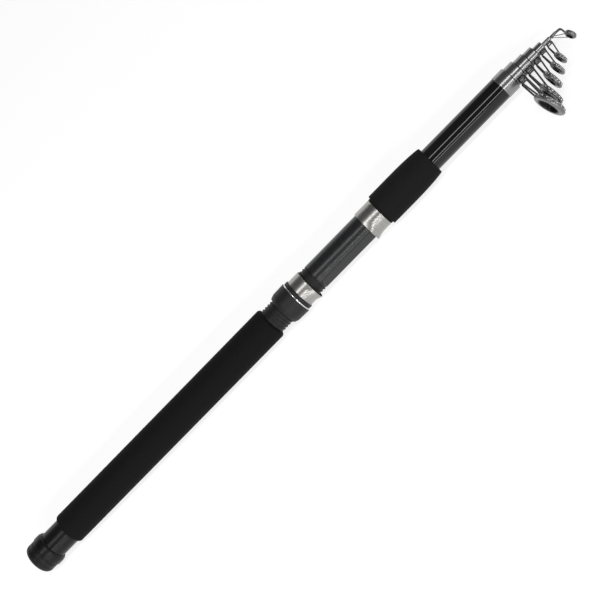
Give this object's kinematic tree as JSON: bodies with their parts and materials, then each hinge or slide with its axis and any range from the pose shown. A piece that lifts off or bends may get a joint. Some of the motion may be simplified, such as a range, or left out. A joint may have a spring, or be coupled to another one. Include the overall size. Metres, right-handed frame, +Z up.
{
  "type": "telescopic fishing rod",
  "caption": "Closed telescopic fishing rod with foam grips, a screw-locking reel seat, nested black tubes with silver ferrules, wire line guides and a tip-top.",
  "frame": {"origin": "centre of the butt cap's flat end face, on the rod's axis", "axes": "+X along the rod towards the tip; the line guides and the reel-foot bed face -Y; +Z up as it lies"},
  "size_m": [0.6373, 0.075, 0.0312],
  "materials": {
    "blank": "clear-coated black carbon tube",
    "ferrule": "turned and polished silver ring",
    "guide_frame": "plated steel wire",
    "guide_insert": "polished black ceramic",
    "grip": "closed-cell foam, ground smooth",
    "hood_steel": "polished stainless sheet",
    "seat": "moulded black nylon",
    "collar": "gloss black",
    "cap": "semi-matt black",
    "pad": "soft foam"
  },
  "bodies": {
    "handle": {"butt_insert": "cap", "butt_collar": "collar", "butt_blank": "blank", "rear_grip": "grip", "threaded_sleeve": "seat", "seat_barrel": "seat", "fixed_hood": "hood_steel", "fore_grip": "grip", "butt_ferrule": "ferrule"},
    "bumper_pad": {"cap_pad": "pad"},
    "screw_cap": {"butt_cap": "cap", "cap_plug": "cap"},
    "hood": {"hood_core": "seat", "moving_hood": "hood_steel"},
    "nut": {"lock_nut": "seat", "nut_trim_ring": "hood_steel"},
    "section_2": {"section_2_blank": "blank", "section_2_ferrule": "ferrule", "guide_2_frame": "guide_frame", "guide_2_insert": "guide_insert"},
    "section_3": {"section_3_blank": "blank", "section_3_ferrule": "ferrule", "guide_3_frame": "guide_frame", "guide_3_insert": "guide_insert"},
    "section_4": {"section_4_blank": "blank", "section_4_ferrule": "ferrule", "guide_4_frame": "guide_frame", "guide_4_insert": "guide_insert"},
    "section_5": {"section_5_blank": "blank", "section_5_ferrule": "ferrule", "guide_5_frame": "guide_frame", "guide_5_insert": "guide_insert"},
    "section_6": {"section_6_blank": "blank", "section_6_ferrule": "ferrule", "guide_6_frame": "guide_frame", "guide_6_insert": "guide_insert"},
    "section_7": {"section_7_tip": "blank", "tip_top_frame": "guide_frame", "tip_top_insert": "guide_insert"}
  },
  "joints": [
    {"name": "cap_travel", "type": "slide", "parent": "handle", "child": "bumper_pad", "axis": [-1, 0, 0], "range_m": [0, 0.014]},
    {"name": "cap_turn", "type": "hinge", "parent": "bumper_pad", "child": "screw_cap", "pos_m": [0, 0, 0], "axis": [-1, 0, 0], "range_deg": [0, 2016.1]},
    {"name": "hood_travel", "type": "slide", "parent": "handle", "child": "hood", "axis": [1, 0, 0], "range_m": [-0.012, 0.018]},
    {"name": "nut_turn", "type": "hinge", "parent": "hood", "child": "nut", "pos_m": [0.3168, 0, 0], "axis": [1, 0, 0], "range_deg": [-1440.1, 2160.1]},
    {"name": "section_2_slide", "type": "slide", "parent": "handle", "child": "section_2", "axis": [1, 0, 0], "range_m": [0, 0.4734]},
    {"name": "section_3_slide", "type": "slide", "parent": "section_2", "child": "section_3", "axis": [1, 0, 0], "range_m": [0, 0.4829]},
    {"name": "section_4_slide", "type": "slide", "parent": "section_3", "child": "section_4", "axis": [1, 0, 0], "range_m": [0, 0.4927]},
    {"name": "section_5_slide", "type": "slide", "parent": "section_4", "child": "section_5", "axis": [1, 0, 0], "range_m": [0, 0.5016]},
    {"name": "section_6_slide", "type": "slide", "parent": "section_5", "child": "section_6", "axis": [1, 0, 0], "range_m": [0, 0.5097]},
    {"name": "section_7_slide", "type": "slide", "parent": "section_6", "child": "section_7", "axis": [1, 0, 0], "range_m": [0, 0.5179]}
  ],
  "couplings": [
    {"joint": "cap_turn", "follows": "cap_travel", "rad_per_m": 2513.3},
    {"joint": "nut_turn", "follows": "hood_travel", "rad_per_m": 2094.4}
  ]
}
